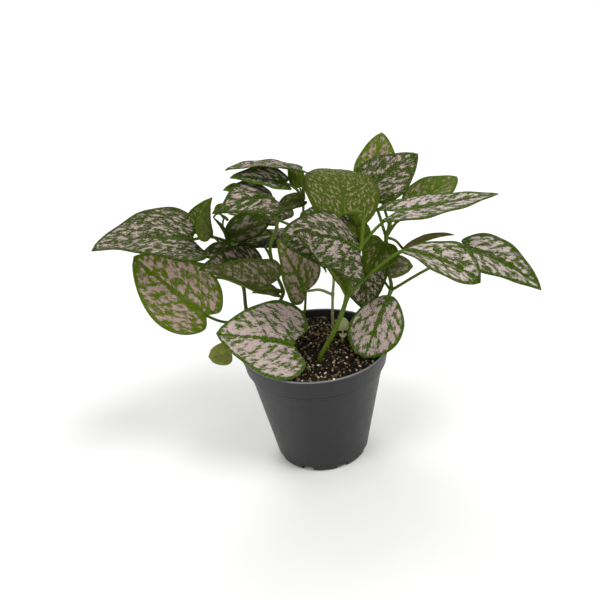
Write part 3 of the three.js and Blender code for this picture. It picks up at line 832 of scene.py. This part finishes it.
def leafSkin(name, under):
    # A thin living leaf: waxy and soft in gloss, letting some light through. The markings follow its veins.
    material, tree = emptyMaterial(name)
    flow = addNode(tree, "Attribute", attribute_name="veinFlow").outputs["Vector"]
    edge = addNode(tree, "SeparateXYZ",
                   {0: addNode(tree, "Attribute", attribute_name="bladeEdge").outputs["Vector"]})
    green = addNode(tree, "Attribute", attribute_name="leafGreen").outputs["Color"]
    splash = addNode(tree, "Attribute", attribute_name="leafSplash").outputs["Color"]
    # Cells of about 0.8 mm, longer along the blade than across it, are green or splashed, in patches.
    wobble = addNode(tree, "TexNoise",
                     {"Vector": flow, "Scale": leafPaint["wobbles"], "Detail": 2}).outputs["Color"]
    shifted = addNode(tree, "VectorMath",
                      {0: wobble, 1: leafPaint["wobble"], 2: flow}, operation="MULTIPLY_ADD").outputs[0]
    cells = addNode(tree, "TexVoronoi", {"Vector": shifted, "Scale": leafPaint["cells"]})
    cellDraw = addNode(tree, "SeparateColor", {0: cells.outputs["Color"]}).outputs[0]
    patches = addNode(tree, "TexNoise",
                      {"Vector": cells.outputs["Position"], "Scale": leafPaint["patches"],
                       "Detail": 2, "Roughness": 0.55}).outputs[0]
    frayed = addNode(tree, "TexNoise",
                     {"Vector": shifted, "Scale": leafPaint["frays"], "Detail": 2}).outputs[0]
    drawn = addNode(tree, "Math",
                    {0: cellDraw, 1: leafPaint["cellWeight"], 2: patches},
                    operation="MULTIPLY_ADD").outputs[0]
    value = addNode(tree, "Math",
                    {0: frayed, 1: leafPaint["frayWeight"], 2: drawn}, operation="MULTIPLY_ADD").outputs[0]
    flowAlong = addNode(tree, "SeparateXYZ", {0: flow}).outputs["X"]
    halfSpacing = 0.5 * leafPaint["unit"] * blade["veinSpacing"]
    toVein = addNode(tree, "Math", {0: flowAlong, 1: halfSpacing}, operation="PINGPONG").outputs[0]
    onVein = addNode(tree, "MapRange",
                     {"Value": toVein, "From Max": leafPaint["veinWidth"],
                      "To Min": 1.0, "To Max": 0.0}).outputs[0]
    hold = greenHold(tree, edge, cells, onVein)
    needed = addNode(tree, "Math", {0: hold, 1: edge.outputs["Z"]}, operation="ADD").outputs[0]
    spare = addNode(tree, "Math", {0: value, 1: needed}, operation="SUBTRACT").outputs[0]
    soft = leafPaint["softness"]
    marked = addNode(tree, "MapRange", {"Value": spare, "From Min": -soft, "From Max": soft}).outputs[0]
    # Pinprick flecks of the other colour in both.
    pricks = addNode(tree, "TexVoronoi", {"Vector": shifted, "Scale": leafPaint["pricks"]}).outputs["Color"]
    prick = addNode(tree, "SeparateColor", {0: pricks}).outputs[0]
    fleck = addNode(tree, "MapRange",
                    {"Value": prick, "From Min": 0.88, "From Max": 0.9, "To Max": 0.75}).outputs[0]
    isMarked = addNode(tree, "Math",
                       {0: edge.outputs["Z"], 1: neverMarked / 2}, operation="LESS_THAN").outputs[0]
    fleckHere = addNode(tree, "Math", {0: fleck, 1: isMarked}, operation="MULTIPLY").outputs[0]
    turned = addNode(tree, "Math", {0: marked, 1: fleckHere}, operation="SUBTRACT").outputs[0]
    mask = addNode(tree, "Math", {0: turned}, operation="ABSOLUTE").outputs[0]
    # Colour: the green deepens and pales in clouds, and a splash is darker round its edge.
    cloud = addNode(tree, "TexNoise",
                    {"Vector": flow, "Scale": leafPaint["clouds"], "Detail": 3}).outputs[0]
    shade = addNode(tree, "MapRange", {"Value": cloud, "To Min": 0.6, "To Max": 1.3}).outputs[0]
    deepGreen = addNode(tree, "VectorMath", {0: green, "Scale": shade}, operation="SCALE").outputs[0]
    veinTint = addNode(tree, "Math", {0: onVein, 1: 0.1}, operation="MULTIPLY").outputs[0]
    veined = addNode(tree, "Mix",
                     {0: veinTint, 6: deepGreen, 7: linear(leafPaint["vein"])}, data_type="RGBA").outputs[2]
    pinkShade = addNode(tree, "MapRange",
                        {"Value": spare, "From Max": 0.09, "To Min": 0.6, "To Max": 1.06}).outputs[0]
    paint = addNode(tree, "VectorMath", {0: splash, "Scale": pinkShade}, operation="SCALE").outputs[0]
    colour = addNode(tree, "Mix", {0: mask, 6: veined, 7: paint}, data_type="RGBA").outputs[2]
    if under:
        colour = addNode(tree, "Mix",
                         {0: 0.5, 6: colour, 7: linear(leafPaint["underside"])}, data_type="RGBA").outputs[2]
    sunk = addNode(tree, "Math", {0: onVein, 1: -0.8, 2: patches}, operation="MULTIPLY_ADD").outputs[0]
    relief = addNode(tree, "Math",
                     {0: cells.outputs["Distance"], 1: -0.5, 2: sunk}, operation="MULTIPLY_ADD").outputs[0]
    bump = addNode(tree, "Bump", {"Height": relief, "Strength": 0.5, "Distance": 0.00025}).outputs[0]
    smoothest, roughest = leafPaint["underRough" if under else "upperRough"]
    rough = addNode(tree, "MapRange", {"Value": cloud, "To Min": smoothest, "To Max": roughest}).outputs[0]
    skin = addNode(tree, "BsdfPrincipled",
                   {"Base Color": colour, "Roughness": rough, "Normal": bump, "Specular IOR Level": 0.06})
    glow = addNode(tree, "BsdfTranslucent", {"Color": colour, "Normal": bump})
    mixed = addNode(tree, "MixShader", {0: leafPaint["glow"], 1: skin.outputs[0], 2: glow.outputs[0]})
    addNode(tree, "OutputMaterial", {"Surface": mixed.outputs[0]})
    return material


def stalkSkin():
    # A soft green stem: smooth and moist, each in its own green, faintly blotched and uneven.
    material, tree = emptyMaterial("soft green stem")
    place = addNode(tree, "TexCoord").outputs["Object"]
    own = addNode(tree, "Attribute", attribute_name="stalkColour").outputs["Color"]
    blotch = addNode(tree, "TexNoise",
                     {"Vector": place, "Scale": stalk["blotchScale"], "Detail": 3}).outputs[0]
    shade = addNode(tree, "MapRange", {"Value": blotch, "To Min": 0.6, "To Max": 1.4}).outputs[0]
    colour = addNode(tree, "VectorMath", {0: own, "Scale": shade}, operation="SCALE").outputs[0]
    rough = addNode(tree, "MapRange", {"Value": blotch, "To Min": 0.35, "To Max": 0.55}).outputs[0]
    bump = addNode(tree, "Bump", {"Height": blotch, "Strength": 0.3, "Distance": 0.0003}).outputs[0]
    skin = addNode(tree, "BsdfPrincipled",
                   {"Base Color": colour, "Roughness": rough, "Normal": bump, "Specular IOR Level": 0.2})
    glow = addNode(tree, "BsdfTranslucent", {"Color": colour})
    mixed = addNode(tree, "MixShader", {0: stalk["glow"], 1: skin.outputs[0], 2: glow.outputs[0]})
    addNode(tree, "OutputMaterial", {"Surface": mixed.outputs[0]})
    return material


# Radius along a stem: it tapers to its tip and swells where a leaf leaves it.
def stemRadii(stem, line):
    joints = [Vector(stem["path"][leaf["at"]]) for leaf in stem["leaves"]]
    radii = []
    for i, place in enumerate(line):
        along = i / (len(line) - 1)
        near = min((place - joint).length for joint in joints)
        swell = stalk["swell"] * max(0, 1 - near / stalk["swellReach"])
        end = min(1, 0.25 + 3 * (1 - along) * len(line) / 12)
        radii.append(stem["radius"] * (1 - stalk["stemTaper"] * along + swell) * end)
    return radii


def addStalk(bm, stem, leaf, colour):
    root = Vector(stem["path"][leaf["at"]])
    reach, bearing, rise = leaf["stalk"]
    base = root + heading(bearing, rise) * reach
    middle = root.lerp(base, 0.5)
    middle.z += min(2, 0.12 * reach) if leaf["bow"] is None else leaf["bow"]
    axes = bladeAxes(leaf)
    onto = onBlade(base, axes, bladePoint(leaf, blade["stalkSunk"], 0)[0])
    line = smoothPath([root, middle, base, onto], stalk["step"])
    thick = stalk["radius"] * min(1, 0.45 + leaf["blade"][0] / 60)
    radii = [thick * (1 - 0.2 * i / len(line)) for i in range(len(line))]
    ribSteps = max(5, round(leaf["blade"][0] / 3))
    ribFrom = radii[-1]
    for i in range(1, ribSteps + 1):
        share = blade["stalkSunk"] + (stalk["ribEnd"] - blade["stalkSunk"]) * i / ribSteps
        along, across, height = bladePoint(leaf, share, 0)[0]
        line.append(onBlade(base, axes, (along, across, height - stalk["ribSunk"])))
        radii.append(ribFrom * (1 - i / ribSteps) ** 0.7 * 0.85 + 0.1)
    growTube(bm, line, radii, stalk["sides"], colour)
    return base


upperSkin = leafSkin("splashed leaf, upper face", False)
underSkin = leafSkin("splashed leaf, underside", True)
stemSkin = stalkSkin()


def makeLeafyStem(stem, order):
    stalks = bmesh.new()
    stalks.verts.layers.float_color.new("stalkColour")
    leaves = bmesh.new()
    for layer in ("veinFlow", "bladeEdge"):
        leaves.verts.layers.float_vector.new(layer)
    for layer in ("leafGreen", "leafSplash"):
        leaves.verts.layers.float_color.new(layer)
    colour = linear(stem["colour"])
    x, y, _ = stem["path"][0]
    line = smoothPath([(x, y, stalk["rootEnd"]), *stem["path"]], stalk["step"])
    growTube(stalks, line, stemRadii(stem, line), stalk["sides"] + 2, colour)
    for i, given in enumerate(stem["leaves"]):
        leaf = {**leafForm, **given}
        base = addStalk(stalks, stem, leaf, colour)
        addBlade(leaves, leaf, base, 3.7 * (10 * order + i + 1))
    finishPiece(stem["name"] + "Stalks", stalks, [stemSkin], [stem["name"]])
    piece = finishPiece(stem["name"] + "Leaves", leaves, [upperSkin, underSkin], [stem["name"]])
    body = piece.modifiers.new("leaf thickness", "SOLIDIFY")
    body.thickness = blade["thickness"] * mm
    body.offset = 0
    body.material_offset = 1
    body.material_offset_rim = 0


for order, stem in enumerate(stems):
    makeLeafyStem(stem, order)
print("leafy stems made")


studio = {
    "floorHalf": 9.0,
    "wallFrom": 1.4,  # where the floor starts to rise into the wall behind the plant
    "bend": 0.8,
    "bendSteps": 24,
    "wallTop": 3.0,
    "paper": ("#f5f5f3", "#f8f8f6"),
    "air": "#f6f7f8",
    "airStrength": 0.44,
    "aim": (0, 0, 0.09),
}


def makeFloor():
    # Matt studio paper: near white, with no pattern that the eye can find.
    material, tree = emptyMaterial("pale studio paper")
    place = addNode(tree, "TexCoord").outputs["Object"]
    mottle = addNode(tree, "TexNoise", {"Vector": place, "Scale": 6, "Detail": 2}).outputs[0]
    colour = addNode(tree, "Mix",
                     {0: mottle, 6: linear(studio["paper"][0]), 7: linear(studio["paper"][1])},
                     data_type="RGBA").outputs[2]
    shader = addNode(tree, "BsdfPrincipled", {"Base Color": colour, "Roughness": 0.9})
    addNode(tree, "OutputMaterial", {"Surface": shader.outputs[0]})
    half, bend = studio["floorHalf"], studio["bend"]
    bm = bmesh.new()
    front = bm.verts.new((-half, -half, 0))
    back = bm.verts.new((-half, studio["wallFrom"], 0))
    bm.edges.new((front, back))
    bent = bmesh.ops.spin(bm, geom=[back], cent=(-half, studio["wallFrom"], bend), axis=(1, 0, 0),
                          dvec=(0, 0, 0), angle=pi / 2, steps=studio["bendSteps"])["geom_last"]
    top = bmesh.ops.extrude_vert_indiv(bm, verts=onlyVerts(bent))["verts"]
    bmesh.ops.translate(bm, verts=top, vec=(0, 0, studio["wallTop"] - bend))
    sweep = bmesh.ops.extrude_edge_only(bm, edges=bm.edges[:])["geom"]
    bmesh.ops.translate(bm, verts=onlyVerts(sweep), vec=(2 * half, 0, 0))
    makeObject("studioFloor", bm, [material])


lights = [  # name, place, size and watts, all aimed at the plant
    ("keyLight", (1.2, -0.8, 2.3), 1.3, 39),
    ("fillLight", (-2.0, -1.3, 1.5), 2.0, 24),
    ("backLight", (-0.4, 1.7, 2.2), 1.6, 26),
]


def makeLights():
    aim = Vector(studio["aim"])
    for name, place, size, watts in lights:
        data = bpy.data.lights.new(name, "AREA")
        data.shape = "DISK"
        data.size = size
        data.energy = watts
        lamp = bpy.data.objects.new(name, data)
        lamp.location = place
        lamp.rotation_euler = (aim - Vector(place)).to_track_quat("-Z", "Y").to_euler()
        bpy.context.scene.collection.objects.link(lamp)
    world = bpy.data.worlds.new("studio")
    world.use_nodes = True
    world.node_tree.nodes.clear()
    air = addNode(world.node_tree, "Background",
                  {"Color": linear(studio["air"]), "Strength": studio["airStrength"]})
    addNode(world.node_tree, "OutputWorld", {"Surface": air.outputs[0]})
    bpy.context.scene.world = world
    bpy.context.scene.view_settings.view_transform = "Standard"


makeFloor()
makeLights()
print("floor and lights made")
